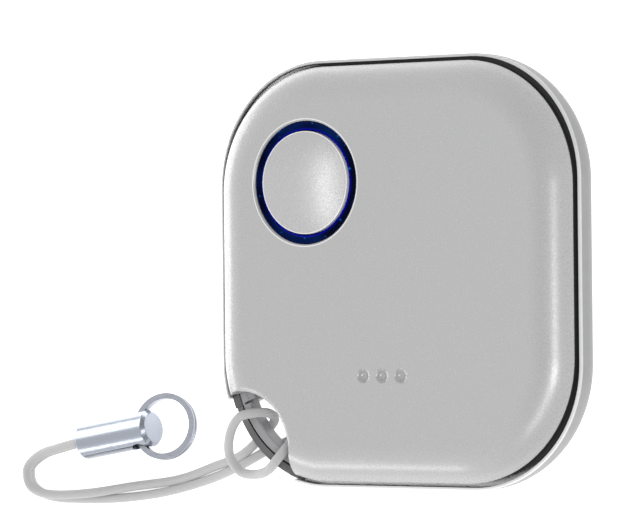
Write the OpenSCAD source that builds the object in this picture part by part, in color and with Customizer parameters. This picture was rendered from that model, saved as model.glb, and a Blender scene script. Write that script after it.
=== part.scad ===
/* [Body] */
// Width and height of the square body, over the rear shell
body_w = 35.7; // [35.5:0.1:44]
// Thickness, from the flat back to the front face
body_t = 6; // [5.8:0.1:8]
// Corner radius in plan
corner_r = 10.4; // [10:0.1:12]
// Wall of both shells
wall = 0.9; // [0.7:0.05:1.1]
// Rounding of the back edge
back_r = 2.9; // [2:0.1:3.2]
// Width of the front's domed edge
crown_w = 3.2; // [2.6:0.1:4]
// Rise of the domed edge, from the seam to the flat face
crown_h = 1.95; // [1.6:0.05:2.2]
// Corner radius of the front in plan
front_r = 10.3; // [9.8:0.1:11.5]

/* [Seam] */
// Light ledge that the rear shell shows round the seam
ledge_w = 0.25; // [0.2:0.05:0.4]
// Width of the dark groove between the ledge and the front
seam_gap = 0.32; // [0.2:0.01:0.45]
// Depth of the groove below the ledge
seam_depth = 0.4; // [0.3:0.05:0.5]
// Height of the front's edge above the ledge
edge_rise = 0.25; // [0.1:0.05:0.4]
// Height of the gasket in the groove
gasket_t = 0.4; // [0.3:0.05:0.6]
// Thickness of the gasket's lip, which stands up round the front
lip_t = 0.22; // [0.15:0.01:0.3]
// Wall of the front's skirt
skirt_t = 0.55; // [0.45:0.01:0.7]
// Depth of the skirt below the seam
skirt_h = 1.1; // [0.8:0.1:1.3]
// Clearance between the skirt and the rear shell
skirt_fit = 0.2; // [0.15:0.05:0.3]

/* [Strap notch and bar] */
// Radius of the notch in the corner
notch_r = 5; // [4.8:0.1:5.4]
// Distance of the notch's centre in from the two sides
notch_in = 3.05; // [2.8:0.05:3.3]
// Rounding of the face's edge at the notch
notch_round = 0.62; // [0.4:0.02:0.8]
// Thickness of the bar, square to the cord
bar_w = 1.67; // [1.4:0.01:1.8]
// Height of the bar
bar_h = 1.35; // [1.1:0.05:1.5]
// Depth that each end of the bar goes into the shell
bar_seat = 0.5; // [0.3:0.05:0.7]
// Length of the wider foot at each end of the bar
foot_l = 1; // [0.8:0.1:1.4]

/* [Button] */
// Distance of the button's centre in from the top and the left side
button_in = 10.25; // [9.8:0.05:10.4]
// Radius of the cap
cap_r = 4.3; // [4:0.05:4.6]
// Radius of the hole in the face
hole_r = 5.15; // [5:0.05:5.4]
// Clearance round the cap and round the light ring
button_fit = 0.05; // [0.03:0.01:0.08]
// Depth of the light ring below the face
ring_sink = 0.2; // [0.1:0.05:0.4]
// Rise of the cap's domed top
cap_dome = 0.12; // [0.05:0.01:0.2]
// Travel of the button
press_travel = 0.3; // [0.2:0.05:0.3]

/* [Sound dimples] */
// Number of dimples
dimple_n = 3; // [1:1:5]
// Diameter of a dimple at the face
dimple_d = 0.95; // [0.6:0.05:1.2]
// Spacing of the dimples
dimple_pitch = 1.85; // [1.4:0.05:2.4]
// Distance of the dimples above the bottom side
dimple_in = 9.4; // [8:0.05:10]
// Depth of a dimple
dimple_h = 0.35; // [0.2:0.05:0.5]

/* [Cell] */
// Diameter of the coin cell
cell_d = 20; // [19.5:0.5:20.5]
// Thickness of the coin cell
cell_t = 3.2; // [2.5:0.1:3.2]
// Distance of the cell's centre in from the bottom and the right side
cell_in = 14.25; // [14.2:0.05:14.4]
// Gap under the cell
cell_gap = 0.1; // [0.05:0.05:0.2]
// Clearance between the cell and its holder
cell_fit = 0.2; // [0.1:0.05:0.3]

/* [Board] */
// Thickness of the board
pcb_t = 0.8; // [0.6:0.1:1]
// Height of the board's underside above the cavity floor
pcb_lift = 1.1; // [0.9:0.05:1.2]
// Clearance between the board and the skirt
pcb_fit = 0.25; // [0.15:0.05:0.4]
// Radius of the posts that carry the board
post_r = 1.1; // [0.9:0.05:1.2]
// Radius of the posts' pins
pin_r = 0.6; // [0.4:0.05:0.65]
// Width of the switch under the button
switch_w = 4.4; // [4:0.1:4.4]
// Width of the radio module's can
radio_w = 4; // [3:0.1:4.5]
// Length of the ceramic aerial
aerial_l = 3.2; // [2:0.1:4]
// Diameter of the sounder's brass plate
sounder_d = 10; // [8:0.5:10.5]
// Width of the cell's contacts
contact_w = 3; // [2:0.1:3.2]
// Thickness of the contacts
contact_t = 0.2; // [0.1:0.05:0.25]

/* [Strap] */
// Diameter of the cord
cord_d = 0.8; // [0.6:0.05:0.8]
// Diameter of the ferrule
ferrule_d = 3.2; // [2.8:0.1:3.6]
// Length of the ferrule
ferrule_l = 7.8; // [7:0.1:9]
// Chamfer at the ferrule's ends
ferrule_chamfer = 0.3; // [0.1:0.05:0.5]
// Diameter of the ferrule's cross-hole
eye_d = 1.7; // [1.5:0.05:1.9]
// Distance of the cross-hole from the ferrule's end
eye_in = 1.4; // [1.3:0.05:1.8]
// Outer radius of the split ring
ring_r = 2.9; // [2.8:0.05:3.2]
// Radial thickness of the split ring
ring_w = 0.5; // [0.4:0.05:0.6]
// Height of the split ring's two turns together
ring_h = 0.7; // [0.5:0.05:0.8]
// Lean of the split ring round the ferrule, in degrees
ring_tilt = 8; // [0:1:10]

/* [Hidden] */
$fn = 64;
eps = 0.01;
far = 60;

// plan of the body: corner arcs about a square of half-size c, and fc for the front's own arcs
hw = body_w/2;
c = hw - corner_r;
front_in = ledge_w + seam_gap;                 // front's edge, in from the outline
fc = hw - front_in - front_r;
notch_c = hw - notch_in;
notch = [-notch_c, -notch_c];
btn = [button_in - hw, hw - button_in];
cell = [hw - cell_in, cell_in - hw];
dimple_y = hw - dimple_in;

// heights
edge_z = body_t - crown_h;                     // front's edge
rim_z = edge_z - edge_rise;                    // top of the rear shell's ledge
seam_z = rim_z - seam_depth;                   // bottom of the groove
step_z = seam_z - gasket_t;
skirt_in = wall + skirt_fit;
skirt_z = seam_z - skirt_h;
crown_r = (crown_w*crown_w + crown_h*crown_h)/(2*crown_h);
ceil_z = body_t - wall;
notch_wall = wall + skirt_fit/2 + skirt_t;     // front's wall round the notch
lip_in = 0.04;                                 // gasket's lip, in from the front's edge
lip_fit = 0.05;
rebate = lip_in + lip_t + lip_fit;             // front's wall behind the lip
rebate_z = edge_z - 0.05;

pcb_z = wall + pcb_lift;
pcb_top = pcb_z + pcb_t;
cell_z = wall + cell_gap;
cell_top = cell_z + cell_t;
cell_r = cell_d/2;
holder_r = cell_r + cell_fit;
holder_w = 1;
holder_top = pcb_top + 1.2;

// strap bar, on the corner arc about the corner's centre
bar_r = corner_r - 0.17 - bar_w/2;
bar_top = seam_z - 0.1;
bar_mid = 0.16;                                // width of the groove along the bar
bar_slope = 0.3;                               // fall of the bar's outer half
slot_w = 0.2;                                  // slot between the bar and each foot
slot_h = 0.6;
foot_in = 0.05;                                // foot's side, in from the bar's outer side
foot_step = 0.05;                              // foot's top below the bar's
foot_drop = 0.3;                               // foot's underside below the bar's
foot_fit = 0.04;
bar_z = bar_top - bar_h;
notch_off = (notch_c - c)*sqrt(2);
function arc_at(r, w) = acos((notch_off*notch_off + r*r - w*w)/(2*notch_off*r));
bar_half = arc_at(bar_r, notch_r + bar_seat);
foot_w = bar_w + 0.5;
foot_a = arc_at(bar_r, notch_r) - foot_l/bar_r*180/PI;

// button and switch
guide_z = ceil_z - 0.9;                        // underside of the light ring
guide_flange = 0.5;
tab_t = 0.35;
tab_r = cap_r + 0.6;
cap_z = body_t - 1.1;                          // underside of the cap's plate
switch_h = 0.7;
frame_t = 0.15;
plunger_r = 0.95;
stem_z = cap_z - 0.6;                          // underside of the cap's stem
dome_h = 0.14;
led_size = [1.6, 0.8, 0.5];
led_r = (cap_r + hole_r)/2;

// posts that carry the board, in the front shell
posts = [[hw - 5.4, hw - 5.4], [hw - 5.4, 5.4 - hw], [4.9 - hw, -4.5], [-4.5, 4.7 - hw]];

// strap: the ferrule lies on the table along a line from its mouth
mouth = [-34.6, -14.4, ferrule_d/2];
ferrule_a = 9.6;
bore_l = 1.9;
ring_lift = -11.5;
ring_mid = ring_r - ring_w/2;
eye_sag = 0.27;
route = [
  [-32.7, -14.1, 2.0], [-34.6, -14.4, 2.0], [-37.4, -15.0, 1.7], [-39.9, -15.7, 1.3],
  [-41.3, -16.9, 1.2], [-41.0, -18.4, 1.2], [-39.2, -19.1, 1.2], [-35.0, -19.0, 1.1],
  [-30.0, -18.3, 0.6], [-25.0, -17.6, 0.45], [-21.0, -16.4, 0.7], [-17.6, -15.3, 1.3],
  [-15.0, -13.2, 1.3], [-14.1, -12.3, 1.5], [-13.8, -11.7, 2.8], [-14.7, -11.7, 4.0],
  [-15.8, -12.1, 4.4], [-17.0, -13.6, 4.0], [-17.6, -15.4, 3.2], [-16.8, -16.7, 2.8],
  [-15.0, -16.9, 3.0], [-13.2, -16.5, 3.8], [-12.0, -15.6, 4.2], [-11.4, -14.5, 3.5],
  [-11.8, -13.9, 2.2], [-13.1, -14.2, 1.3], [-15.0, -14.9, 1.2], [-18.4, -16.4, 1.0],
  [-22.0, -17.6, 0.45], [-26.5, -18.7, 0.45], [-31.0, -19.3, 0.45], [-35.5, -19.5, 0.45],
  [-39.4, -19.3, 0.45], [-41.2, -18.4, 0.45], [-41.5, -16.9, 0.5], [-40.0, -15.7, 0.5],
  [-37.4, -15.0, 0.9], [-34.6, -14.4, 1.2], [-32.7, -14.1, 1.2]];

// shared shapes

// sweeps a profile, drawn outward from the corner's centre and up, round a rounded square
// whose corner arcs stand about a square of half-size k
module round_square(k, z0, z1) {
  for (i = [0:3]) rotate(90*i) {
    translate([k, k, 0]) rotate_extrude(angle = 90) children();
    rotate([90, 0, 0]) linear_extrude(2*k, center = true) translate([k, 0]) children();
  }
  translate([-k, -k, z0]) cube([2*k, 2*k, z1 - z0]);
}

// plain rounded square with corner arcs of radius r about the same square
module plain_square(k, r, z0, z1) {
  translate([0, 0, z0]) linear_extrude(z1 - z0) {
    for (x = [-k, k], y = [-k, k]) translate([x, y]) circle(r);
    square([2*k, 2*(k + r)], center = true);
    square([2*(k + r), 2*k], center = true);
  }
}

// plain body plan, set in from the outline, and the same for the front's own plan
module prism(inset, z0, z1) { plain_square(c, corner_r - inset, z0, z1); }
module front_prism(inset, z0, z1) { plain_square(fc, front_r - inset, z0, z1); }

// plan d in from the skirt's outer side, inside both the rear shell's wall and the front's
module skirt_prism(d, z0, z1) {
  intersection() {
    prism(skirt_in + d, z0, z1);
    front_prism(rebate + d, 0, far);
  }
}

// rectangle from the axis to r with rounded outer corners, r1 below and r2 above
module slab(r, z0, z1, r1, r2) {
  translate([0, z0 + r1]) square([r, z1 - z0 - r1 - r2]);
  translate([0, z0]) square([r - r1, z1 - z0 - r2]);
  translate([0, z0 + r1]) square([r - r2, z1 - z0 - r1]);
  if (r1 > 0) intersection() {
    translate([r - r1, z0 + r1]) circle(r1);
    translate([r - r1 - eps, z0]) square([r1 + eps, r1 + eps]);
  }
  if (r2 > 0) translate([r - r2, z1 - r2]) circle(r2);
}

// section of the front's domed edge, d in from its outer surface
module dome_section(d, z0) {
  translate([0, z0]) square([front_r - crown_w, body_t - d - z0]);
  intersection() {
    translate([front_r - crown_w, body_t - crown_r]) circle(crown_r - d, $fn = 128);
    translate([front_r - crown_w - eps, z0]) square([crown_w - d + eps, crown_r]);
  }
}

module notch_cut(r, z0, z1) {
  translate([notch.x, notch.y, z0]) cylinder(h = z1 - z0, r = r, $fn = 96);
}

module at(p, z) { translate([p.x, p.y, z]) children(); }

module tube(ro, ri, h) {
  difference() {
    cylinder(h = h, r = ro);
    translate([0, 0, -1]) cylinder(h = h + 2, r = ri);
  }
}

// box on the board, centred at p
module chip(p, size, a = 0) {
  at(p, pcb_top) rotate(a) translate([-size.x/2, -size.y/2, 0]) cube(size);
}

// shells

module rear_shell() color([0.9, 0.9, 0.91]) {
  difference() {
    round_square(c, 0, rim_z) slab(corner_r, 0, rim_z, back_r, 0.15);
    difference() {
      round_square(c, wall, body_t) slab(corner_r - wall, wall, body_t, back_r - wall, 0);
      notch_cut(notch_r + wall, 0, far);
    }
    difference() {
      prism(ledge_w, step_z, body_t);
      notch_cut(notch_r + wall, 0, far);
    }
    prism(ledge_w, seam_z - 0.08, body_t);
    notch_cut(notch_r, -1, far);
    bar_sweep(bar_half + 0.3, 0.03);
  }
  // nest of the cell and the backing of the switch
  at(cell, wall - 0.05) tube(cell_r + 0.95, cell_r + 0.35, pcb_lift - 0.1);
  at(btn, wall - 0.05) tube(2.9, 2.2, pcb_lift);
}

// pocket for the bar, a plain section grown by g all round
module bar_sweep(half, g) {
  translate([-c, -c, 0]) rotate(225 - half) rotate_extrude(angle = 2*half)
    translate([bar_r - bar_w/2 - g, bar_z - g]) square([bar_w + 2*g, bar_h + 2*g]);
}

// section of the bar: a flat inner half, a groove and an outer half that falls away
module bar_section() {
  w = bar_w/2;
  g = bar_mid/2;
  translate([bar_r, bar_z]) polygon([[-w, 0], [w, 0], [w, bar_h - bar_slope], [g, bar_h - 0.05],
    [g, bar_h - 0.25], [-g, bar_h - 0.25], [-g, bar_h], [0.1 - w, bar_h], [-w, bar_h - 0.1]]);
}

module strap_bar() color([0.36, 0.36, 0.37]) {
  span = arc_at(bar_r, notch_r) - foot_a + 2;
  difference() {
    union() {
      translate([-c, -c, 0]) rotate(225 - bar_half) rotate_extrude(angle = 2*bar_half)
        bar_section();
      // wider, lower feet that end just short of the notch's wall
      intersection() {
        notch_cut(notch_r - foot_fit, 0, far);
        for (s = [-1, 1]) translate([-c, -c, 0]) rotate(225 + s*(foot_a + span/2) - span/2)
          rotate_extrude(angle = span)
            translate([bar_r + bar_w/2 - foot_in - foot_w, bar_z - foot_drop])
              square([foot_w, bar_h + foot_drop - foot_step]);
      }
    }
    // slot between the bar's inner part and each foot
    for (s = [-1, 1]) translate([-c, -c, bar_top - slot_h]) rotate(225 + s*foot_a)
      translate([bar_r - bar_w, -slot_w/2, 0]) cube([bar_w*0.85, slot_w, 2*slot_h]);
  }
}

module seam_gasket() color([0.05, 0.05, 0.05]) {
  difference() {
    prism(ledge_w + 0.04, step_z, seam_z);
    prism(wall + 0.12, step_z - 1, seam_z + 1);
    notch_cut(notch_r + wall + 0.05, 0, far);
  }
  // lip round the front's wall, up to just under its edge
  difference() {
    front_prism(lip_in, seam_z - 0.05, rebate_z - 0.03);
    front_prism(lip_in + lip_t, 0, far);
    notch_cut(notch_r + 0.06, 0, far);
  }
}

module front_shell() color([0.72, 0.72, 0.73]) {
  difference() {
    union() {
      round_square(fc, rebate_z, body_t) dome_section(0, rebate_z);
      front_prism(rebate, seam_z, rebate_z + 0.1);
      skirt_prism(0, skirt_z, seam_z + 0.2);
    }
    difference() {
      union() {
        round_square(fc, seam_z + 0.3, ceil_z) dome_section(wall, seam_z + 0.3);
        skirt_prism(skirt_t, 1, seam_z + 0.4);
      }
      notch_cut(notch_r + notch_wall, 0, far);
    }
    notch_cut(notch_r + wall + skirt_fit/2, 0, seam_z);
    notch_cut(notch_r, 0, far);
    // rounded edge of the face at the notch
    at(notch, body_t - notch_round) rotate_extrude($fn = 96) difference() {
      square([notch_r + notch_round, 1]);
      translate([notch_r + notch_round, 0]) circle(notch_round);
    }
    at(btn, 1) cylinder(h = far, r = hole_r);
    at(btn, body_t - 0.12) cylinder(h = 0.13, r1 = hole_r, r2 = hole_r + 0.13);
    dimples();
  }
  for (p = posts) {
    at(p, pcb_top) cylinder(h = ceil_z - pcb_top + 0.05, r = post_r, $fn = 32);
    at(p, pcb_z - 0.25) cylinder(h = pcb_t + 0.5, r = pin_r, $fn = 32);
    at(p, pcb_z - 0.25) cylinder(h = 0.25, r = pin_r + 0.35, $fn = 32);
  }
}

module dimples() {
  r = (pow(dimple_d/2, 2) + pow(dimple_h, 2))/(2*dimple_h);
  for (i = [0:dimple_n - 1])
    translate([(i - (dimple_n - 1)/2)*dimple_pitch, -dimple_y, body_t - dimple_h + r])
      sphere(r, $fn = 32);
}

// button

module light_ring() color([0.03, 0.08, 0.32]) at(btn, 0) {
  ri = cap_r + 2*button_fit;
  ro = hole_r - button_fit;
  rotate_extrude() difference() {
    union() {
      translate([ri, guide_z]) square([ro - ri, body_t - ring_sink - guide_z]);
      translate([ri, ceil_z - guide_flange]) square([ro + 0.55 - ri, guide_flange]);
    }
    // dished top
    translate([(ri + ro)/2, body_t - ring_sink + 0.35]) circle(0.45);
  }
}

module button_cap() color([0.72, 0.72, 0.73]) at(btn, 0) {
  r_top = (cap_r*cap_r + cap_dome*cap_dome)/(2*cap_dome);
  rotate_extrude() {
    intersection() {
      translate([0, body_t + cap_dome - r_top]) circle(r_top, $fn = 720);
      polygon([[0, cap_z], [cap_r, cap_z], [cap_r, body_t - 0.15], [cap_r - 0.15, body_t + 1],
        [0, body_t + 1]]);
    }
    translate([cap_r - 0.6, guide_z - tab_t]) square([0.6, cap_z - guide_z + tab_t + 0.05]);
    translate([0, stem_z]) square([1.3, cap_z - stem_z + 0.05]);
  }
  for (a = [45:120:285]) rotate(a - 8) translate([0, 0, guide_z - tab_t])
    rotate_extrude(angle = 16) translate([cap_r - 0.3, 0]) square([tab_r - cap_r + 0.3, tab_t]);
}

module switch_base() color([0.12, 0.12, 0.13]) difference() {
  chip(btn, [switch_w, switch_w, switch_h]);
  at(btn, pcb_top + 0.15) cylinder(h = 2, r = 1.5);
}

module switch_dome() color([0.8, 0.78, 0.7]) at(btn, pcb_top + 0.15) rotate_extrude()
  polygon([[0, dome_h - 0.06], [0.6, dome_h - 0.07], [1.4, 0], [1.48, 0], [1.48, 0.05],
    [1.4, 0.06], [0.62, dome_h], [0, dome_h]]);

module switch_frame() color([0.75, 0.76, 0.78]) difference() {
  union() {
    at(btn, pcb_top + switch_h) translate([-switch_w/2, -switch_w/2, 0])
      cube([switch_w, switch_w, frame_t]);
    for (s = [-1, 1]) at(btn, pcb_top + 0.2)
      translate([s*(switch_w/2 + 0.1) - 0.1, -1, 0]) cube([0.2, 2, switch_h + frame_t - 0.2]);
  }
  at(btn, 0) cylinder(h = far, r = plunger_r + 0.1);
}

module switch_plunger() color([0.2, 0.2, 0.2])
  at(btn, pcb_top + 0.15 + dome_h + press_travel + 0.01)
    cylinder(h = stem_z - 0.02 - (pcb_top + 0.15 + dome_h + press_travel + 0.01), r = plunger_r);

// board

module pcb() color([0.05, 0.3, 0.18]) difference() {
  skirt_prism(skirt_t + pcb_fit, pcb_z, pcb_top);
  notch_cut(notch_r + notch_wall + pcb_fit, 0, far);
  at(cell, 0) cylinder(h = far, r = holder_r + 0.2);
  for (p = posts) at(p, 0) cylinder(h = far, r = pin_r + 0.05, $fn = 32);
}

module radio_module() color([0.7, 0.71, 0.73]) {
  chip([3.5, hw - 6], [radio_w, 4, 0.85]);
  chip([3.5, hw - 6], [radio_w + 1, 4.6, 0.15]);
}

module aerial() color([0.85, 0.85, 0.8]) chip([-0.8, hw - 3.4], [aerial_l, 1.6, 1.1]);

module crystal() color([0.78, 0.78, 0.7]) chip([7.6, hw - 4.6], [2, 1.6, 0.5]);

module ring_lights() color([0.95, 0.95, 0.8])
  for (a = [0:90:270])
    chip(btn + led_r*[cos(a), sin(a)], led_size, a + 90);

module capacitors() color([0.6, 0.45, 0.3])
  for (p = [[-0.6, hw - 6.1], [-0.6, hw - 7.3], [7.5, hw - 6.6], [6.1 - hw, 0.3],
      [6.1 - hw, -1.1], [3, hw - 3]])
    chip(p, [1, 0.5, 0.5]);

module resistors() color([0.1, 0.1, 0.1])
  for (p = [[-0.6, hw - 8.5], [9.4, hw - 6.6], [4.2 - hw, 0.3], [4.2 - hw, -1.1],
      [5, hw - 3], [10.6, hw - 4]])
    chip(p, [1, 0.5, 0.35]);

// cell and contacts

module cell_can() color([0.78, 0.79, 0.8]) at(cell, 0) rotate_extrude($fn = 96) difference() {
  slab(cell_r, cell_z, cell_top - 0.2, 0.3, 0);
  translate([-1, cell_z + 0.3]) square([cell_r + 0.7, far]);
}

module cell_seal() color([0.15, 0.15, 0.15]) at(cell, cell_z + 0.3)
  tube(cell_r - 0.3, cell_r - 1.1, cell_t - 0.45);

module cell_cap() color([0.72, 0.73, 0.75]) at(cell, cell_z + 0.3)
  cylinder(h = cell_t - 0.3, r = cell_r - 1.1, $fn = 96);

module cell_holder() color([0.1, 0.1, 0.1]) difference() {
  at(cell, pcb_top) tube(holder_r + holder_w, holder_r, holder_top - pcb_top);
  at(cell, 0) rotate(70) translate([cell_r - 1, -2.2, 0]) cube([4, 4.4, far]);
}

module positive_contact() color([0.82, 0.8, 0.72]) at(cell, 0) {
  rotate(70 - 8.5) rotate_extrude(angle = 17)
    translate([cell_r + 0.02, pcb_top]) square([contact_t, 1.1]);
  rotate(70) translate([cell_r + 0.12, -contact_w/2, pcb_top]) cube([2.3, contact_w, contact_t]);
}

module negative_contact() color([0.82, 0.8, 0.72]) {
  x0 = cell.x - holder_r - holder_w - 0.35;
  arm_z = cell_top + 0.2;
  y0 = cell.y - contact_w/2;
  translate([x0 - 2.6, y0, pcb_top]) cube([2.8, contact_w, contact_t]);
  translate([x0, y0, pcb_top]) cube([contact_t, contact_w, arm_z + contact_t - pcb_top]);
  translate([x0, cell.y - 1, arm_z]) cube([cell.x + 1.2 - x0, 2, contact_t]);
  intersection() {
    at(cell, cell_top + 0.02 + 0.8) sphere(0.8, $fn = 32);
    at(cell, cell_top) cylinder(h = 0.3, r = 1);
  }
}

module sounder_plate() color([0.8, 0.65, 0.3])
  translate([0, -dimple_y, ceil_z - 0.15]) cylinder(h = 0.15, r = sounder_d/2);

module sounder_ceramic() color([0.9, 0.88, 0.82])
  translate([0, -dimple_y, ceil_z - 0.3]) cylinder(h = 0.15, r = 0.34*sounder_d);

// strap

// smooth curve through the route: tangents from the neighbours, cubic spans, n steps each
function span_l(i) = norm(route[i + 1] - route[i]);
function tangent(i) = i == 0 ? (route[1] - route[0])/span_l(0)
  : i == len(route) - 1 ? (route[i] - route[i - 1])/span_l(i - 1)
  : (route[i + 1] - route[i - 1])/(span_l(i) + span_l(i - 1));
function spot(i, t) = let(t2 = t*t, t3 = t2*t)
  (2*t3 - 3*t2 + 1)*route[i] + (t3 - 2*t2 + t)*span_l(i)*tangent(i)
  + (3*t2 - 2*t3)*route[i + 1] + (t3 - t2)*span_l(i)*tangent(i + 1);
function unit(v) = v/norm(v);
// tilts a side direction so that it stays square to the next tangent
function carry(v, t) = unit(v - (v*t)*t);

module strap_cord() color([0.8, 0.8, 0.8]) {
  steps = 2;
  sides = 8;
  pts = [for (i = [0:len(route) - 2], k = [0:steps - 1]) spot(i, k/steps),
    route[len(route) - 1]];
  last = len(pts) - 1;
  dirs = [for (i = [0:last]) unit(pts[min(i + 1, last)] - pts[max(i - 1, 0)])];
  outs = [for (i = 0, v = carry([0, 0, 1], dirs[0]); i <= last;
    i = i + 1, v = carry(v, dirs[min(i, last)])) v];
  rings = [for (i = [0:last], k = [0:sides - 1])
    pts[i] + cord_d/2*(cos(360*k/sides)*outs[i] + sin(360*k/sides)*cross(dirs[i], outs[i]))];
  faces = concat([[for (k = [0:sides - 1]) k]],
    [for (i = [0:last - 1], k = [0:sides - 1]) let(n = (k + 1)%sides)
      [i*sides + n, i*sides + k, (i + 1)*sides + k, (i + 1)*sides + n]],
    [[for (k = [sides - 1:-1:0]) last*sides + k]]);
  polyhedron(rings, faces, convexity = 10);
}

// frame of the ferrule: X along it from the mouth
module on_ferrule() { translate(mouth) rotate(ferrule_a) children(); }

module strap_ferrule() color([0.75, 0.77, 0.82]) on_ferrule() difference() {
  r = ferrule_d/2;
  k = ferrule_chamfer;
  rotate([90, 0, 90]) rotate_extrude()
    polygon([[0, 0], [r - k, 0], [r, k], [r, ferrule_l - k], [r - k, ferrule_l], [0, ferrule_l]]);
  // mouth for the two cord ends
  translate([-1, 0, 0]) rotate([0, 90, 0]) cylinder(h = bore_l + 1, r = cord_d + 0.15, $fn = 32);
  // cross-hole, square to the ring's lean
  translate([ferrule_l - eye_in, 0, 0]) rotate([90 - ring_tilt, 0, 0])
    cylinder(h = far, r = eye_d/2, center = true, $fn = 32);
}

module split_ring() color([0.7, 0.72, 0.76]) on_ferrule()
  translate([ferrule_l - eye_in, 0, 0]) rotate([-ring_tilt, 0, 0]) rotate([0, -ring_lift, 0])
    translate([ring_mid - eye_sag, 0, -ring_h/2]) {
      // two turns with a fine groove between them
      rotate_extrude() difference() {
        translate([ring_r - ring_w, 0]) square([ring_w, ring_h]);
        translate([ring_r + 0.02, ring_h/2]) circle(0.1, $fn = 16);
      }
    }

rear_shell();
strap_bar();
seam_gasket();
front_shell();
light_ring();
button_cap();
switch_base();
switch_dome();
switch_frame();
switch_plunger();
pcb();
radio_module();
aerial();
crystal();
ring_lights();
capacitors();
resistors();
cell_can();
cell_seal();
cell_cap();
cell_holder();
positive_contact();
negative_contact();
sounder_plate();
sounder_ceramic();
strap_cord();
strap_ferrule();
split_ring();
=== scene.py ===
"""Smart button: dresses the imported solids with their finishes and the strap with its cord.

Run as a script inside Blender. All lengths are metres in the part's own frame: the flat back
lies on the table at z = 0, +Z points out of the face and the strap notch is at -X, -Y.
"""
import math

import bmesh
import bpy
import numpy as np
from bpy.props import FloatProperty, FloatVectorProperty, IntProperty, PointerProperty
from mathutils import Matrix, Vector


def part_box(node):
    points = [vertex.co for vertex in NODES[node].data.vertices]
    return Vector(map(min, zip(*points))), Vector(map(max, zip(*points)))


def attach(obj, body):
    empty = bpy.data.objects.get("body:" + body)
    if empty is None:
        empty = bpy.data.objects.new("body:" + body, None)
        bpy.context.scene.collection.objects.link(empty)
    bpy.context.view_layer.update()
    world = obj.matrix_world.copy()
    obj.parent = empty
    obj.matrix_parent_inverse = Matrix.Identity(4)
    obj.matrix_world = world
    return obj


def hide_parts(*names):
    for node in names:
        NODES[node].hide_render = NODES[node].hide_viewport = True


bl_info = {
    "name": "Smart button dresser",
    "version": (1, 0, 0),
    "blender": (4, 5, 0),
    "location": "View3D > Sidebar > Smart button",
    "description": "Finishes, cord and studio for a thin wireless button with a strap loop",
    "category": "Object",
}

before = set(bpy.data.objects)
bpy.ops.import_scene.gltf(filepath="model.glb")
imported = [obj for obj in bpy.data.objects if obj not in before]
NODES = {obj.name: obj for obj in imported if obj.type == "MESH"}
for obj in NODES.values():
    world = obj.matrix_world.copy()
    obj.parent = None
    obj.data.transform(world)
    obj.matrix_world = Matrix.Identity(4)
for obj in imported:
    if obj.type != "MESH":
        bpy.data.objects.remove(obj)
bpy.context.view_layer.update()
MM = 0.001
# X and Y, in millimetres, of the point that the strap bar and its groove bend round
NOTCH_CORNER = -7.45
# how near two corners of a solid merge, and how flat an edge is for its faces to be joined
MERGE = 1e-7
FLAT = math.radians(0.3)


# properties


def length(name, text, default, low, high):
    """A length property in metres with its own range."""
    return FloatProperty(name=name, description=text, default=default, min=low, max=high,
                         unit="LENGTH", precision=5)


def colour(name, text, default):
    """A linear RGB colour property."""
    return FloatVectorProperty(name=name, description=text, subtype="COLOR", size=3,
                               default=default, min=0, max=1)


class ButtonSizes(bpy.types.PropertyGroup):
    """Sizes of what this file shapes on the body."""

    edge: length("Edge rounding", "Width of the small bevel on moulded edges", 0.0001, 0, 0.0003)
    fine_edge: length("Fine edge", "Width of the bevel on small metal parts", 0.00002, 0, 0.0001)
    # height of the band of painted highlight along the top of the rear shell's rim
    lit_lip: length("Lip height", "Height of the bright lip on the rear shell", 0.00022, 0, 0.001)
    ring_gap: length("Guide inset", "From the guide's box to its visible edge", 0.00055, 0, 0.001)
    ring_width: length("Guide width", "Width of the guide in the face", 0.0008, 0.0003, 0.002)
    bar: length("Bar middle", "Radius of the strap bar's middle line", 0.009395, 0.005, 0.02)
    # width of the black line of painted shade along the strap bar
    groove: length("Bar groove", "Width of the line along the strap bar", 0.00016, 0, 0.001)
    cap: length("Cap radius", "Radius of the cap", 0.0043, 0.002, 0.01)
    # width of the painted highlight ring at the cap's edge
    cap_highlight_width: length("Cap edge", "Width of the cap's bare edge", 0.0001, 0, 0.0005)
    chamfer: length("Chamfer", "Width of the chamfer round the light ring", 0.00016, 0, 0.001)
    # width of the painted highlight ring round the light ring's hole
    hole_highlight_width: length("Hole edge", "Width of the bare edge round the light ring", 0.0001, 0, 0.001)
    round_rim: length("Rim rounding", "Width of the rounded rims", 0.0002, 0, 0.001)
    rim_drop: length("Rim drop", "Depth of the rounded rims", 0.00012, 0, 0.001)
    dimple: length("Dimple", "Radius where a dimple's rim starts", 0.00046, 0, 0.001)
    pitch: length("Dimple pitch", "Spacing of the dimples", 0.00185, 0.001, 0.003)
    dimple_y: length("Dimple line", "Where the dimples lie along Y", -0.00845, -0.02, 0)
    dome: length("Cap dome", "Height of the dome that the cap's gloss shows", 0.00032, 0, 0.001)
    sharp: FloatProperty(name="Crease angle", description="Edges sharper than this stay crisp",
                         default=math.radians(28), subtype="ANGLE")


class StrapSizes(bpy.types.PropertyGroup):
    """Sizes of the cord, the ferrule and the split ring."""

    cord: length("Cord", "Diameter of the cord", 0.0008, 0.0003, 0.002)
    sides: IntProperty(name="Cord sides", description="Faces round the cord", default=24, min=8)
    steps: IntProperty(name="Cord steps", description="Rings for each stretch of the route",
                       default=14, min=2)


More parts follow.
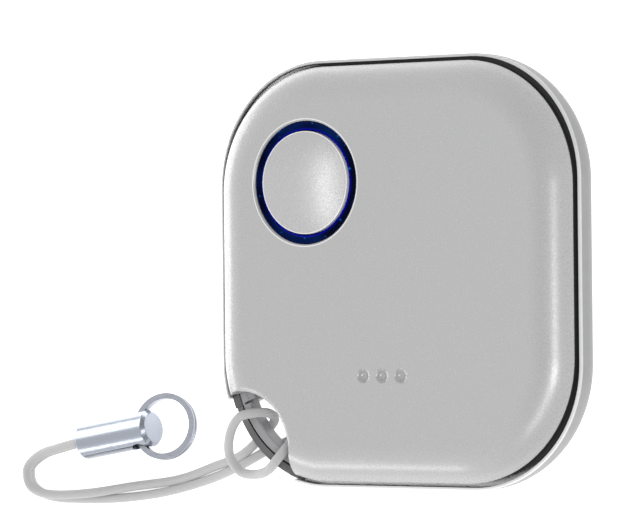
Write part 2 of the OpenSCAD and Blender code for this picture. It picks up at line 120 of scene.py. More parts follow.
class Finishes(bpy.types.PropertyGroup):
    """Colours of the object, linear RGB."""

    face: colour("Face", "Silver lacquer of the front and the cap", (0.45, 0.45, 0.455))
    # a grey darkened as painted shade for the rear shell's side; the plastic itself is light
    rear: colour("Rear", "Light grey plastic of the rear shell", (0.265, 0.265, 0.27))
    # painted highlight along the top of the rear shell's rim
    lit_lip: colour("Lip", "Bright rim of the rear shell beside the seam", (0.62, 0.62, 0.62))
    bar: colour("Strap bar", "Dark grey of the strap bar", (0.10, 0.10, 0.103))
    # near black as painted shade: the gasket fills the seam where the gap between the shells lies
    # in shade
    seam: colour("Seam", "Black gasket in the seam", (0.03, 0.03, 0.031))
    ring: colour("Light ring", "Navy body of the light ring", (0.0004, 0.006, 0.058))
    glow: colour("Light ring edge", "Royal blue of its inner edge", (0.001, 0.003, 0.33))
    cord: colour("Cord", "Light grey of the cord", (0.55, 0.55, 0.55))
    steel: colour("Ferrule", "Cool polished steel of the ferrule", (0.36, 0.385, 0.435))
    wire: colour("Split ring", "Greyer steel of the split ring", (0.34, 0.355, 0.40))


class StageSettings(bpy.types.PropertyGroup):
    """Floor, light and camera."""

    sky: FloatProperty(name="Room light", description="Strength on the strap's side",
                       default=1.02)
    dim: FloatProperty(name="Dim side", description="Strength on the other side", default=0.54)
    glow: FloatProperty(name="Floor glow", description="Light of the floor on the strap's side",
                        default=2.2)
    lift: FloatProperty(name="Floor lift", description="Light of the floor elsewhere",
                        default=0.7)
    floor: FloatProperty(name="Floor", description="Half width of the floor", default=3.0,
                         unit="LENGTH")
    turn: FloatProperty(name="Camera turn", description="Angle of the view off the face",
                        default=math.radians(35.08), subtype="ANGLE")
    pitch: FloatProperty(name="Camera pitch", description="Tilt of the view up or down",
                         default=math.radians(-0.42), subtype="ANGLE")
    roll: FloatProperty(name="Camera roll", description="Roll of the view",
                        default=math.radians(0.57), subtype="ANGLE")
    away: length("Camera distance", "Distance from the camera to the body", 0.3472, 0.1, 2)
    lens: FloatProperty(name="Lens", description="Focal length in millimetres on a 36 mm sensor",
                        default=243.3)


# meshes


def place(name, mesh, body, finish):
    """Puts a finished mesh in the scene on its body and its finish."""
    piece = bpy.data.objects.new(name, mesh)
    bpy.context.scene.collection.objects.link(piece)
    mesh.materials.clear()
    mesh.materials.append(finish)
    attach(piece, body)
    return piece


def tube_grid(name, rings):
    """Closed surface through rings (m, n, 3): quads between neighbours, a face at each end."""
    m, n = rings.shape[:2]
    i, k = np.meshgrid(np.arange(m - 1), np.arange(n), indexing="ij")
    k2 = (k + 1) % n
    quads = np.stack([i * n + k, i * n + k2, (i + 1) * n + k2, (i + 1) * n + k], -1)
    faces = quads.reshape(-1, 4).tolist()
    verts = rings.reshape(-1, 3)
    faces += [list(range(n))[::-1], [(m - 1) * n + j for j in range(n)]]
    mesh = bpy.data.meshes.new(name)
    mesh.from_pydata(verts.tolist(), [], faces)
    mesh.polygons.foreach_set("use_smooth", np.ones(len(faces), bool))
    mesh.update()
    return mesh


def polished_copy(node, body, finish, edge, crease):
    """A merged, smooth-shaded copy of a solid with softened edges, standing for that solid.

    Coplanar triangles are joined first, so that the bevel follows the real edges, and faces
    are weighted by area, so that flat faces stay flat beside rounded ones.
    """
    mesh = NODES[node].data.copy()
    mesh.name = node + "_skin"
    work = bmesh.new()
    work.from_mesh(mesh)
    bmesh.ops.remove_doubles(work, verts=work.verts, dist=MERGE)
    bmesh.ops.dissolve_limit(work, angle_limit=FLAT, verts=work.verts, edges=work.edges)
    for face in work.faces:
        face.smooth = True
    for line in work.edges:
        line.smooth = len(line.link_faces) == 2 and line.calc_face_angle(0) < crease
    work.to_mesh(mesh)
    work.free()
    piece = place(node + "_skin", mesh, body, finish)
    if edge > 0:
        soft = piece.modifiers.new("soft edge", "BEVEL")
        soft.width, soft.segments, soft.limit_method = edge, 3, "ANGLE"
        soft.angle_limit, soft.use_clamp_overlap = crease, True
    even = piece.modifiers.new("even faces", "WEIGHTED_NORMAL")
    even.weight, even.keep_sharp = 60, True
    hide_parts(node)
    return piece


# finishes


# how many flakes or features of noise go into a metre, and how high their bumps are in metres
FLAKES = 9000
FLAKE_HEIGHT = 5e-6
SATIN = 5000
MOTTLE = 900
GRAIN = 12000
GRAIN_HEIGHT = 3e-6
BAR_GRAIN = 6000
BAR_GRAIN_HEIGHT = 6e-6
TIDE = 300
GLINTS = 1500
CORD_LINE_HEIGHT = 8e-6
STEEL_LINES = (400, 6000, 6000)

# colour of the painted highlight rings at the cap's edge and round the light ring's hole
EDGE_HIGHLIGHT_PAINT = (0.8, 0.8, 0.79)
# painted shade: near-black line standing for the groove along the strap bar
GROOVE_PAINTED_SHADE = (0.008, 0.008, 0.008)
GLINT_CYAN = (0.0, 0.16, 0.62)


def finish(name, base, rough, metal=0.0):
    """A new Principled material with its constants set, as (material, nodes, links, shader)."""
    mat = bpy.data.materials.new(name)
    mat.use_nodes = True
    tree = mat.node_tree
    shader = tree.nodes["Principled BSDF"]
    shader.inputs["Base Color"].default_value = (*base, 1)
    shader.inputs["Roughness"].default_value = rough
    shader.inputs["Metallic"].default_value = metal
    return mat, tree.nodes, tree.links, shader


def coordinates(nodes, links, centre=(0, 0, 0), turn=(0, 0, 0), scale=(1, 1, 1)):
    """Object coordinates moved to a centre, turned and scaled, as an output socket."""
    source = nodes.new("ShaderNodeTexCoord")
    move = nodes.new("ShaderNodeMapping")
    move.inputs["Location"].default_value = [-c for c in centre]
    links.new(source.outputs["Object"], move.inputs["Vector"])
    aim = nodes.new("ShaderNodeMapping")
    aim.inputs["Rotation"].default_value = turn
    aim.inputs["Scale"].default_value = scale
    links.new(move.outputs["Vector"], aim.inputs["Vector"])
    return aim.outputs["Vector"]


def ramp(nodes, links, value, stops):
    """A colour ramp over a value; stops are (position, linear RGB or grey)."""
    band = nodes.new("ShaderNodeValToRGB")
    while len(band.color_ramp.elements) < len(stops):
        band.color_ramp.elements.new(0.5)
    for element, (spot, tint) in zip(band.color_ramp.elements, stops):
        element.position = spot
        element.color = (*tint, 1) if hasattr(tint, "__len__") else (tint, tint, tint, 1)
    links.new(value, band.inputs["Fac"])
    return band.outputs["Color"]


def noise(nodes, links, at, scale, detail=2.0):
    """Noise value at that many features a metre."""
    grain = nodes.new("ShaderNodeTexNoise")
    grain.inputs["Scale"].default_value = scale
    grain.inputs["Detail"].default_value = detail
    links.new(at, grain.inputs["Vector"])
    return grain.outputs["Fac"]


def span(nodes, links, value, low, high, start=0.0, end=1.0):
    """A value eased from start to end between low and high."""
    ease = nodes.new("ShaderNodeMapRange")
    ease.interpolation_type = "SMOOTHSTEP"
    for key, number in (("From Min", low), ("From Max", high), ("To Min", start), ("To Max", end)):
        ease.inputs[key].default_value = number
    links.new(value, ease.inputs["Value"])
    return ease.outputs["Result"]


def axis(nodes, links, vector, name):
    """One coordinate of a vector."""
    parts = nodes.new("ShaderNodeSeparateXYZ")
    links.new(vector, parts.inputs["Vector"])
    return parts.outputs[name]


def blend(nodes, links, factor, first, second):
    """A colour between two, each a socket or linear RGB."""
    mix = nodes.new("ShaderNodeMix")
    mix.data_type = "RGBA"
    links.new(factor, mix.inputs["Factor"])
    for key, side in (("A", first), ("B", second)):
        if isinstance(side, bpy.types.NodeSocket):
            links.new(side, mix.inputs[key])
        else:
            mix.inputs[key].default_value = (*side, 1)
    return mix.outputs["Result"]


def bumps(nodes, links, shader, height, strength, distance):
    """Bump on the shader from a height, over any bump that it has already."""
    bump = nodes.new("ShaderNodeBump")
    bump.inputs["Strength"].default_value = strength
    bump.inputs["Distance"].default_value = distance
    links.new(height, bump.inputs["Height"])
    for link in shader.inputs["Normal"].links:
        links.new(link.from_socket, bump.inputs["Normal"])
    links.new(bump.outputs["Normal"], shader.inputs["Normal"])


def radius(nodes, links, at):
    """Distance from the Z axis of coordinates."""
    flat = nodes.new("ShaderNodeVectorMath")
    flat.operation = "MULTIPLY"
    flat.inputs[1].default_value = (1, 1, 0)
    links.new(at, flat.inputs[0])
    far = nodes.new("ShaderNodeVectorMath")
    far.operation = "LENGTH"
    links.new(flat.outputs["Vector"], far.inputs[0])
    return far.outputs["Value"]


def shades(base, low, high):
    """The base colour darkened and lightened, for the two ends of a ramp."""
    return [tuple(min(1.0, c * k) for c in base) for k in (low, high)]


def rounding(nodes, links, shader, spots, start, end, depth):
    """Rounded rims about the spots: the gloss bends as if the height rose by depth between the
    two distances from a spot, or fell where depth is negative."""
    height = None
    for spot in spots:
        rise = span(nodes, links, radius(nodes, links, coordinates(nodes, links, spot)),
                    start, end)
        if height is not None:
            both = nodes.new("ShaderNodeMath")
            both.operation = "MULTIPLY"
            links.new(height, both.inputs[0])
            links.new(rise, both.inputs[1])
            rise = both.outputs["Value"]
        height = rise
    bumps(nodes, links, shader, height, 1.0, depth)


def silver_lacquer(name, base):
    """Satin silver lacquer: fine metallic flakes that tilt the gloss and make it sparkle. Gives
    (material, nodes, links, shader)."""
    mat, nodes, links, shader = finish(name, base, 0.28)
    shader.inputs["Specular IOR Level"].default_value = 1.0
    at = coordinates(nodes, links)
    flakes = nodes.new("ShaderNodeTexVoronoi")
    flakes.inputs["Scale"].default_value = FLAKES
    links.new(at, flakes.inputs["Vector"])
    low, high = shades(base, 0.975, 1.025)
    tone = ramp(nodes, links, flakes.outputs["Color"], [(0.0, low), (0.5, base), (1.0, high)])
    links.new(tone, shader.inputs["Base Color"])
    bumps(nodes, links, shader, flakes.outputs["Color"], 1.0, FLAKE_HEIGHT)
    rough = ramp(nodes, links, noise(nodes, links, at, SATIN), [(0.2, 0.25), (0.8, 0.31)])
    links.new(rough, shader.inputs["Roughness"])
    return mat, nodes, links, shader


def paint_edge_highlight(nodes, links, shader, centre, start, end):
    """Painted highlight: a bright ring in the shader's colour between two distances from the
    centre, where a rounded edge would catch the light.
    """
    band = nodes.new("ShaderNodeMath")
    band.operation = "COMPARE"
    band.inputs[1].default_value = (start + end) / 2
    band.inputs[2].default_value = (end - start) / 2
    links.new(radius(nodes, links, coordinates(nodes, links, centre)), band.inputs[0])
    under = shader.inputs["Base Color"].links[0].from_socket
    links.new(blend(nodes, links, band.outputs["Value"], under, EDGE_HIGHLIGHT_PAINT),
              shader.inputs["Base Color"])


def face_lacquer(name, base, centre, hole, dimples, size):
    """Silver lacquer with a painted highlight ring at the light ring's hole and rounded dimples.
    """
    mat, nodes, links, shader = silver_lacquer(name, base)
    start = hole + size.chamfer
    # painted highlight ring just outside the chamfer round the hole
    paint_edge_highlight(nodes, links, shader, centre, start, start + size.hole_highlight_width)
    rounding(nodes, links, shader, dimples, size.dimple, size.dimple + size.round_rim,
             size.rim_drop)
    return mat


def cap_lacquer(name, base, centre, size):
    """Silver lacquer on the cap with a painted highlight ring at its edge: its gloss bends as on a
    shallow dome, the height falling with the square of the distance from the centre."""
    mat, nodes, links, shader = silver_lacquer(name, base)
    # painted highlight ring at the cap's edge
    paint_edge_highlight(nodes, links, shader, centre, size.cap - size.cap_highlight_width, size.cap)
    far = radius(nodes, links, coordinates(nodes, links, centre))
    fall = nodes.new("ShaderNodeMath")
    fall.operation = "MULTIPLY"
    links.new(far, fall.inputs[0])
    links.new(far, fall.inputs[1])
    bumps(nodes, links, shader, fall.outputs["Value"], 1.0, -size.dome / size.cap ** 2)
    return mat


def moulded_plastic(name, base, rough):
    """Moulded plastic: a faint mottle and a fine spark-eroded grain."""
    mat, nodes, links, shader = finish(name, base, rough)
    at = coordinates(nodes, links)
    low, high = shades(base, 0.96, 1.04)
    tone = ramp(nodes, links, noise(nodes, links, at, MOTTLE), [(0.3, low), (0.7, high)])
    links.new(tone, shader.inputs["Base Color"])
    bumps(nodes, links, shader, noise(nodes, links, at, GRAIN, 3), 0.25, GRAIN_HEIGHT)
    return mat


def plastic_with_painted_lit_rim(name, base, lit_lip, low, high):
    """Moulded plastic that turns bright between two heights: a painted highlight along the top of
    the rim over the base colour below.
    """
    mat, nodes, links, shader = finish(name, base, 0.42)
    at = coordinates(nodes, links)
    dark, light = shades(base, 0.97, 1.03)
    tone = ramp(nodes, links, noise(nodes, links, at, MOTTLE), [(0.3, dark), (0.7, light)])
    # painted highlight: bright from here up to the top of the rim
    rise = span(nodes, links, axis(nodes, links, at, "Z"), low, high)
    links.new(blend(nodes, links, rise, tone, lit_lip), shader.inputs["Base Color"])
    bumps(nodes, links, shader, noise(nodes, links, at, GRAIN, 3), 0.2, GRAIN_HEIGHT)
    return mat


def plastic_with_painted_light_and_shade(name, base, inner, centre, middle, groove):
    """Plastic in two tones split by a black line at that distance from the centre: the lightened
    inner tone is painted light on the bar's inner side, the line is painted shade of a groove.
    """
    mat, nodes, links, shader = finish(name, base, 0.35)
    at = coordinates(nodes, links, centre)
    far = radius(nodes, links, at)
    # painted light: the bar's own colour lightened for its inner side
    tone = blend(nodes, links, span(nodes, links, far, middle - groove, middle), inner, base)
    away = nodes.new("ShaderNodeMath")
    away.operation = "COMPARE"
    away.inputs[1].default_value = middle
    away.inputs[2].default_value = groove / 2
    links.new(far, away.inputs[0])
    # painted shade: a black line along the bar for its groove
    links.new(blend(nodes, links, away.outputs["Value"], tone, GROOVE_PAINTED_SHADE),
              shader.inputs["Base Color"])
    bumps(nodes, links, shader, noise(nodes, links, at, BAR_GRAIN), 0.3, BAR_GRAIN_HEIGHT)
    return mat


def polished_steel(name, base, rough, turn=0.0, lines=0.04):
    """Polished steel with faint fine lines, from noise stretched along one direction."""
    mat, nodes, links, shader = finish(name, base, rough, 1.0)
    at = coordinates(nodes, links, (0, 0, 0), (0, 0, turn), STEEL_LINES)
    streaks = noise(nodes, links, at, 1.0)
    low, high = shades(base, 1 - lines, 1 + lines)
    links.new(ramp(nodes, links, streaks, [(0.3, low), (0.7, high)]), shader.inputs["Base Color"])
    links.new(ramp(nodes, links, streaks, [(0.3, rough * 0.9), (0.7, rough * 1.1)]),
              shader.inputs["Roughness"])
    return mat


def ring_guide(name, base, glow, centre, inner, outer):
    """Blue light guide: royal blue at its inner edge and navy across, by the distance to its
    centre, with a slow change of blue round it and a few cyan glints."""
    mat, nodes, links, shader = finish(name, base, 0.35)
    shader.inputs["Specular IOR Level"].default_value = 0.02
    at = coordinates(nodes, links, centre)
    far = radius(nodes, links, at)
    width = outer - inner
    deep = shades(base, 0.25, 1)[0]
    teal = (base[0], base[1] * 2.4, base[2] * 1.5)
    tide = ramp(nodes, links, noise(nodes, links, at, TIDE, 1),
                [(0.42, deep), (0.54, base), (0.68, teal)])
    edge = span(nodes, links, far, inner + 0.15 * width, inner + 0.42 * width)
    across = blend(nodes, links, edge, glow, tide)
    spots = ramp(nodes, links, noise(nodes, links, at, GLINTS, 1), [(0.70, 0.0), (0.78, 1.0)])
    links.new(blend(nodes, links, spots, across, GLINT_CYAN), shader.inputs["Base Color"])
    return mat


def nylon(name, base):
    """Smooth translucent nylon cord: faint lines along it from the tube's own UV map."""
    mat, nodes, links, shader = finish(name, base, 0.7)
    source = nodes.new("ShaderNodeUVMap")
    source.uv_map = "along"
    aim = nodes.new("ShaderNodeMapping")
    aim.inputs["Scale"].default_value = (26, 40, 1)
    links.new(source.outputs["UV"], aim.inputs["Vector"])
    lines = noise(nodes, links, aim.outputs["Vector"], 1.0, 3)
    low, high = shades(base, 0.98, 1.02)
    links.new(ramp(nodes, links, lines, [(0.3, low), (0.7, high)]), shader.inputs["Base Color"])
    bumps(nodes, links, shader, lines, 0.12, CORD_LINE_HEIGHT)
    shader.inputs["Specular IOR Level"].default_value = 0.2
    shader.inputs["Subsurface Weight"].default_value = 0.6
    shader.inputs["Subsurface Radius"].default_value = (0.0006, 0.0006, 0.0006)
    return mat


# strap


# how far the cord's lines go along the UV map for each of its diameters
LINE_STRETCH = 0.2

# the cord's route, point for point as in the part's source, in millimetres
ROUTE = np.array([
    [-32.7, -14.1, 2.0], [-34.6, -14.4, 2.0], [-37.4, -15.0, 1.7], [-39.9, -15.7, 1.3],
    [-41.3, -16.9, 1.2], [-41.0, -18.4, 1.2], [-39.2, -19.1, 1.2], [-35.0, -19.0, 1.1],
    [-30.0, -18.3, 0.6], [-25.0, -17.6, 0.45], [-21.0, -16.4, 0.7], [-17.6, -15.3, 1.3],
    [-15.0, -13.2, 1.3], [-14.1, -12.3, 1.5], [-13.8, -11.7, 2.8], [-14.7, -11.7, 4.0],
    [-15.8, -12.1, 4.4], [-17.0, -13.6, 4.0], [-17.6, -15.4, 3.2], [-16.8, -16.7, 2.8],
    [-15.0, -16.9, 3.0], [-13.2, -16.5, 3.8], [-12.0, -15.6, 4.2], [-11.4, -14.5, 3.5],
    [-11.8, -13.9, 2.2], [-13.1, -14.2, 1.3], [-15.0, -14.9, 1.2], [-18.4, -16.4, 1.0],
    [-22.0, -17.6, 0.45], [-26.5, -18.7, 0.45], [-31.0, -19.3, 0.45], [-35.5, -19.5, 0.45],
    [-39.4, -19.3, 0.45], [-41.2, -18.4, 0.45], [-41.5, -16.9, 0.5], [-40.0, -15.7, 0.5],
    [-37.4, -15.0, 0.9], [-34.6, -14.4, 1.2], [-32.7, -14.1, 1.2]]) * MM


def smooth_route(points, steps):
    """Cubic spans through the points, each with its end tangents from the neighbours."""
    span = np.linalg.norm(np.diff(points, axis=0), axis=1)[:, None]
    lean = np.vstack([(points[1] - points[0]) / span[0],
                      (points[2:] - points[:-2]) / (span[1:] + span[:-1]),
                      (points[-1] - points[-2]) / span[-1]])
    t = np.linspace(0, 1, steps, endpoint=False)[None, :, None]
    a, b = points[:-1, None], points[1:, None]
    ta, tb = (lean[:-1] * span)[:, None], (lean[1:] * span)[:, None]
    path = ((2 * t**3 - 3 * t**2 + 1) * a + (t**3 - 2 * t**2 + t) * ta
            + (3 * t**2 - 2 * t**3) * b + (t**3 - t**2) * tb)
    return np.vstack([path.reshape(-1, 3), points[-1:]])


def cord_surface(path, radius, sides):
    """Rings of a round tube: centre + radius * (cos a * side + sin a * up), with side level and
    square to the path at its start, and from ring to ring the last one turned square to it."""
    along = np.gradient(path, axis=0)
    along /= np.linalg.norm(along, axis=1)[:, None]
    side = np.empty_like(along)
    side[0] = np.cross(along[0], (0, 0, 1.0))
    for i in range(1, len(along)):
        side[i] = side[i - 1] - along[i] * (side[i - 1] @ along[i])
        side[i] /= np.linalg.norm(side[i])
    side[0] /= np.linalg.norm(side[0])
    up = np.cross(side, along)
    a = np.linspace(0, 2 * np.pi, sides, endpoint=False)[None, :, None]
    return path[:, None] + radius * (np.cos(a) * side[:, None] + np.sin(a) * up[:, None])


class STRAP_OT_cord(bpy.types.Operator):
    """Make the cord loop hitched round the bar."""

    bl_idname = "button.strap_cord"
    bl_label = "Strap cord"

    def execute(self, context):
        size, tint = context.scene.strap_sizes, context.scene.finishes
        path = smooth_route(ROUTE, size.steps)
        # the tube stays inside the box of its solid
        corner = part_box("strap_cord")[0]
        path[:, :2] = np.maximum(path[:, :2], np.array(corner)[:2] + size.cord / 2)
        rings = cord_surface(path, size.cord / 2, size.sides)
        mesh = tube_grid("cord_loop", rings)
        loop = mesh.loops
        vert = np.empty(len(loop), int)
        loop.foreach_get("vertex_index", vert)
        uv = mesh.uv_layers.new(name="along")
        paces = np.linalg.norm(np.diff(path, axis=0), axis=1)
        run = np.r_[0, np.cumsum(paces)] / size.cord
        across = np.abs(np.linspace(-1, 1, size.sides, endpoint=False))
        uv.data.foreach_set("uv", np.column_stack(
            [across[vert % size.sides], run[vert // size.sides] * LINE_STRETCH]).ravel())
        cord = place("cord_loop", mesh, "base", nylon("cord nylon", tint.cord))
        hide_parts("strap_cord")
        return {"FINISHED"}


class STRAP_OT_metal(bpy.types.Operator):
    """Finish the crimp ferrule and the split ring."""

    bl_idname = "button.strap_metal"
    bl_label = "Ferrule and split ring"

    def execute(self, context):
        body, tint = context.scene.button_sizes, context.scene.finishes
        steel = polished_steel("ferrule steel", tint.steel, 0.26, math.radians(-9.6), 0.01)
        wire = polished_steel("ring steel", tint.wire, 0.3)
        polished_copy("strap_ferrule", "base", steel, body.fine_edge * 2,
                      body.sharp)
        polished_copy("split_ring", "ring", wire, body.edge, body.sharp)
        return {"FINISHED"}


# body


def guide_circle(size):
    """Centre of the light ring and the radius of its visible outer edge."""
    low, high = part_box("light_ring")
    centre = ((low.x + high.x) / 2, (low.y + high.y) / 2, 0)
    return centre, (high.x - low.x) / 2 - size.ring_gap


class BODY_OT_casings(bpy.types.Operator):
    """Finish the two shells, the seam and the strap bar."""

    bl_idname = "button.casings"
    bl_label = "Shells, seam and strap bar"

    def execute(self, context):
        size, tint = context.scene.button_sizes, context.scene.finishes
        centre, hole = guide_circle(size)
        dimples = [(step * size.pitch, size.dimple_y, 0) for step in (-1, 0, 1)]
        # front shell: its lacquer has a painted highlight ring round the light ring's hole
        polished_copy("front_shell", "front",
                      face_lacquer("front lacquer", tint.face, centre, hole, dimples, size),
                      size.edge, size.sharp)
        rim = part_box("rear_shell")[1].z
        # rear shell: painted highlight along its rim over a colour darkened as painted shade
        polished_copy("rear_shell", "base",
                      plastic_with_painted_lit_rim("rear plastic", tint.rear, tint.lit_lip, rim - size.lit_lip,
                                     rim - 0.5 * size.lit_lip), size.edge, size.sharp)
        corner = NOTCH_CORNER * MM
        # strap bar: lightened inner side as painted light, black line as painted shade of its
        # groove
        polished_copy("strap_bar", "base",
                      plastic_with_painted_light_and_shade("bar plastic", tint.bar, shades(tint.bar, 3.2, 1)[0],
                                      (corner, corner, 0), size.bar, size.groove),
                      size.edge, size.sharp)
        # seam gasket: near black, as painted shade for the gap between the shells
        polished_copy("seam_gasket", "base",
                      moulded_plastic("gasket rubber", tint.seam, 0.7), size.fine_edge,
                      size.sharp)
        return {"FINISHED"}


class BODY_OT_button(bpy.types.Operator):
    """Finish the cap and the light ring."""

    bl_idname = "button.press_button"
    bl_label = "Cap and light ring"

    def execute(self, context):
        size, tint = context.scene.button_sizes, context.scene.finishes
        centre, outer = guide_circle(size)
        # cap: its lacquer has a painted highlight ring at its edge
        polished_copy("button_cap", "button",
                      cap_lacquer("cap lacquer", tint.face, centre, size),
                      size.edge, size.sharp)
        polished_copy("light_ring", "front",
                      ring_guide("ring guide", tint.ring, tint.glow, centre,
                                 outer - size.ring_width, outer),
                      size.fine_edge, size.sharp)
        return {"FINISHED"}


INSIDE = {
    # node: (body, slot, colour, roughness, metallic)
    "switch_base": ("front", "black_moulding", (0.02, 0.02, 0.02), 0.5, 0),
    "switch_dome": ("front", "spring_metal", (0.7, 0.68, 0.6), 0.3, 1),
    "switch_frame": ("front", "tin", (0.65, 0.66, 0.68), 0.3, 1),
    "switch_plunger": ("plunger", "black_moulding", (0.03, 0.03, 0.03), 0.45, 0),
    "pcb": ("front", "board", (0.02, 0.10, 0.05), 0.35, 0),
    "radio_module": ("front", "tin", (0.62, 0.63, 0.65), 0.3, 1),
    "aerial": ("front", "ceramic", (0.72, 0.70, 0.64), 0.4, 0),
    "crystal": ("front", "tin", (0.66, 0.66, 0.62), 0.3, 1),
    "ring_lights": ("front", "ceramic", (0.85, 0.84, 0.7), 0.3, 0),
    "capacitors": ("front", "ceramic", (0.35, 0.22, 0.12), 0.5, 0),
    "resistors": ("front", "black_moulding", (0.02, 0.02, 0.02), 0.4, 0),
    "cell_can": ("front", "cell_steel", (0.62, 0.63, 0.64), 0.28, 1),
    "cell_seal": ("front", "black_moulding", (0.05, 0.05, 0.05), 0.6, 0),
    "cell_cap": ("front", "cell_fill", (0.62, 0.63, 0.64), 0.32, 1),
    "cell_holder": ("front", "black_moulding", (0.02, 0.02, 0.02), 0.5, 0),
    "positive_contact": ("front", "spring_metal", (0.72, 0.68, 0.55), 0.3, 1),
    "negative_contact": ("front", "spring_metal", (0.72, 0.68, 0.55), 0.3, 1),
    "sounder_plate": ("front", "sounder_brass", (0.70, 0.48, 0.18), 0.3, 1),
    "sounder_ceramic": ("front", "ceramic", (0.75, 0.73, 0.68), 0.3, 0),
}


class BODY_OT_inside(bpy.types.Operator):
    """Finish the board, the switch, the cell and the other inner parts."""

    bl_idname = "button.inside"
    bl_label = "Inner parts"

    def execute(self, context):
        size = context.scene.button_sizes
        for node, (body, slot, base, rough, metal) in INSIDE.items():
            label = node.replace("_", " ")
            if metal:
                look = polished_steel(label + " metal", base, rough)
            else:
                look = moulded_plastic(label + " finish", base, rough)
            polished_copy(node, body, look, size.fine_edge, size.sharp)
        return {"FINISHED"}


# stage


def camera_pose(turn, pitch, roll, away, shift):
    """The camera's matrix: the view axes are roll * pitch * turn of the part's axes, and the
    camera stands away from the middle by the distance, less the shift across the picture."""
    cy, sy, cp, sp, cr, sr = (f(a) for a in (turn, pitch, roll) for f in (math.cos, math.sin))
    about_y = np.array([[cy, 0, -sy], [0, 1, 0], [sy, 0, cy]])
    about_x = np.array([[1, 0, 0], [0, cp, -sp], [0, sp, cp]])
    about_z = np.array([[cr, -sr, 0], [sr, cr, 0], [0, 0, 1]])
    axes = about_z @ about_x @ about_y
    pose = np.eye(4)
    pose[:3, :3] = axes.T
    pose[:3, 3] = axes.T @ (np.array([0, 0, away]) - np.array([*shift, 0]))
    return Matrix(pose.tolist())


# the floor gives off more light where it lies beside the strap: the middle line of that patch,
# how far to its sides it fades, and where it fades along X, in metres
PATCH_MIDDLE = (0, 0.012, 0)
PATCH_SIDES = (0.018, 0.028)
PATCH_FADE = (-0.03, 0.02)

# between which X of a direction the room's light goes from the bright side to the dim one
ROOM_FADE = (-0.35, 0.15)

# how far right of and above the picture's middle the part's origin lies, in metres
PART_IN_PICTURE = (0.0094, -0.00065)

LAMPS = [
    # name, direction round Z and above the floor in degrees, distance, width and height in
    # metres, radiance, and the pieces that it lights, or none for all
    ("softbox on the right", -14, 46, 0.5, 0.15, 0.10, 15.0, ()),
    ("low strip in front", 226, 19, 0.45, 0.20, 0.05, 8.0, ()),
    ("low strip on the left", 180, 2, 0.45, 0.40, 0.09, 5.0, ()),
    ("card round the corner", -50, 48, 0.5, 0.30, 0.09, 4.5, ("front_shell_skin",)),
    ("card beside the wall", -85, 12, 0.4, 0.25, 0.12, 10.0, ("rear_shell_skin",)),
    ("card over the seam", 200, 30, 0.11, 0.04, 0.05, 150.0, ("seam_gasket_skin",)),
    ("card over the cap", 183, 67, 0.5, 0.24, 0.07, 11.0, ("button_cap_skin",)),
    ("card over the ferrule", 134, 34, 0.5, 0.5, 0.3, 3.0,
     ("strap_ferrule_skin", "split_ring_skin")),
]

# these make gloss on their pieces and don't brighten their colour
SHINE_ONLY = ("card round the corner", "card over the cap", "card over the ferrule")


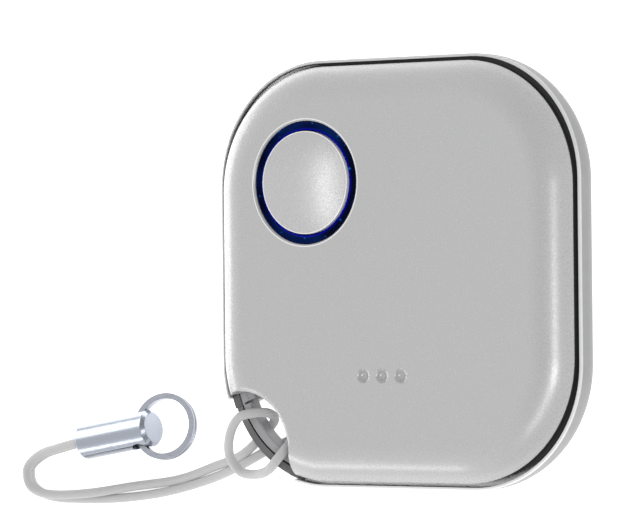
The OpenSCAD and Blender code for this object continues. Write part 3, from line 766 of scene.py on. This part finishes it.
class STAGE_OT_studio(bpy.types.Operator):
    """Set the pale floor, the soft lights and the camera."""

    bl_idname = "button.studio"
    bl_label = "Floor, light and camera"

    def execute(self, context):
        scene, stage = context.scene, context.scene.stage_settings
        floor = self.pale_floor(stage)
        scene.world = self.room(stage)
        for name, turn, lift, away, wide, tall, glow, pieces in LAMPS:
            lamp = self.softbox(name, turn, lift, away, wide, tall, glow)
            if pieces:
                lit = bpy.data.collections.new("lit by " + name)
                for piece in pieces:
                    lit.objects.link(bpy.data.objects[piece])
                lamp.light_linking.receiver_collection = lit
                lamp.visible_diffuse = name not in SHINE_ONLY
        scene.view_settings.view_transform = "Standard"
        scene.camera = self.photo_camera(stage)
        return {"FINISHED"}

    def pale_floor(self, stage):
        """The white floor, which gives off some light of its own."""
        half = stage.floor
        mesh = bpy.data.meshes.new("floor")
        mesh.from_pydata([(-half, -half, 0), (half, -half, 0), (half, half, 0), (-half, half, 0)],
                         [], [(0, 1, 2, 3)])
        floor = bpy.data.objects.new("floor", mesh)
        bpy.context.scene.collection.objects.link(floor)
        mat, nodes, links, shader = finish("pale floor", (0.8, 0.8, 0.8), 0.9)
        shader.inputs["Specular IOR Level"].default_value = 0.0
        shader.inputs["Emission Color"].default_value = (1, 1, 1, 1)
        at = coordinates(nodes, links, PATCH_MIDDLE)
        beside = nodes.new("ShaderNodeMath")
        beside.operation = "ABSOLUTE"
        links.new(axis(nodes, links, at, "Y"), beside.inputs[0])
        near = span(nodes, links, beside.outputs["Value"], *PATCH_SIDES, stage.glow, stage.lift)
        light = nodes.new("ShaderNodeMapRange")
        links.new(axis(nodes, links, at, "X"), light.inputs["Value"])
        light.inputs["From Min"].default_value, light.inputs["From Max"].default_value = PATCH_FADE
        links.new(near, light.inputs["To Min"])
        light.inputs["To Max"].default_value = stage.lift
        links.new(light.outputs["Result"], shader.inputs["Emission Strength"])
        mesh.materials.append(mat)
        return floor

    def photo_camera(self, stage):
        """The camera at the photograph's angle."""
        lens = bpy.data.cameras.new("camera")
        lens.lens, lens.sensor_width, lens.sensor_fit = stage.lens, 36, "HORIZONTAL"
        lens.clip_start, lens.clip_end = 0.01, 10
        camera = bpy.data.objects.new("camera", lens)
        camera.matrix_world = camera_pose(stage.turn, stage.pitch, stage.roll, stage.away,
                                          PART_IN_PICTURE)
        bpy.context.scene.collection.objects.link(camera)
        return camera

    def room(self, stage):
        """Room light, brighter on the strap's side of the part than on the other."""
        world = bpy.data.worlds.new("soft room")
        world.use_nodes = True
        nodes, links = world.node_tree.nodes, world.node_tree.links
        nodes["Background"].inputs["Color"].default_value = (1, 1, 1, 1)
        source = nodes.new("ShaderNodeTexCoord")
        side = axis(nodes, links, source.outputs["Generated"], "X")
        links.new(span(nodes, links, side, *ROOM_FADE, stage.sky, stage.dim),
                  nodes["Background"].inputs["Strength"])
        return world

    def softbox(self, name, turn, lift, away, wide, tall, glow):
        """A soft rectangular light in that direction, aimed at the part, of radiance glow."""
        turn, lift = math.radians(turn), math.radians(lift)
        toward = Vector((math.cos(lift) * math.cos(turn), math.cos(lift) * math.sin(turn),
                         math.sin(lift)))
        light = bpy.data.lights.new(name, "AREA")
        light.shape, light.size, light.size_y = "RECTANGLE", wide, tall
        light.energy = math.pi * wide * tall * glow
        lamp = bpy.data.objects.new(name, light)
        lamp.location = toward * away
        lamp.rotation_euler = toward.to_track_quat("Z", "Y").to_euler()
        bpy.context.scene.collection.objects.link(lamp)
        return lamp


# panel


OPERATORS = [BODY_OT_casings, BODY_OT_button, BODY_OT_inside, STRAP_OT_metal, STRAP_OT_cord,
             STAGE_OT_studio]


class VIEW3D_PT_smart_button(bpy.types.Panel):
    """Lists the makers and the sizes."""

    bl_idname = "VIEW3D_PT_smart_button"
    bl_label = "Smart button"
    bl_space_type = "VIEW_3D"
    bl_region_type = "UI"
    bl_category = "Smart button"

    def draw(self, context):
        for maker in OPERATORS:
            self.layout.operator(maker.bl_idname)
        for group in ("button_sizes", "strap_sizes", "finishes", "stage_settings"):
            box = self.layout.box()
            settings = getattr(context.scene, group)
            for key in settings.__annotations__:
                box.prop(settings, key)


GROUPS = {"button_sizes": ButtonSizes, "strap_sizes": StrapSizes, "finishes": Finishes,
          "stage_settings": StageSettings}


def register():
    """Registers the settings, the makers and the panel."""
    for name, group in GROUPS.items():
        bpy.utils.register_class(group)
        setattr(bpy.types.Scene, name, PointerProperty(type=group))
    for maker in OPERATORS + [VIEW3D_PT_smart_button]:
        bpy.utils.register_class(maker)


def unregister():
    """Takes them out again."""
    for maker in [VIEW3D_PT_smart_button] + OPERATORS[::-1]:
        bpy.utils.unregister_class(maker)
    for name, group in GROUPS.items():
        delattr(bpy.types.Scene, name)
        bpy.utils.unregister_class(group)


def main():
    register()
    for maker in OPERATORS:
        group, call = maker.bl_idname.split(".")
        getattr(getattr(bpy.ops, group), call)()
    bpy.context.view_layer.update()


if __name__ == "__main__":
    main()
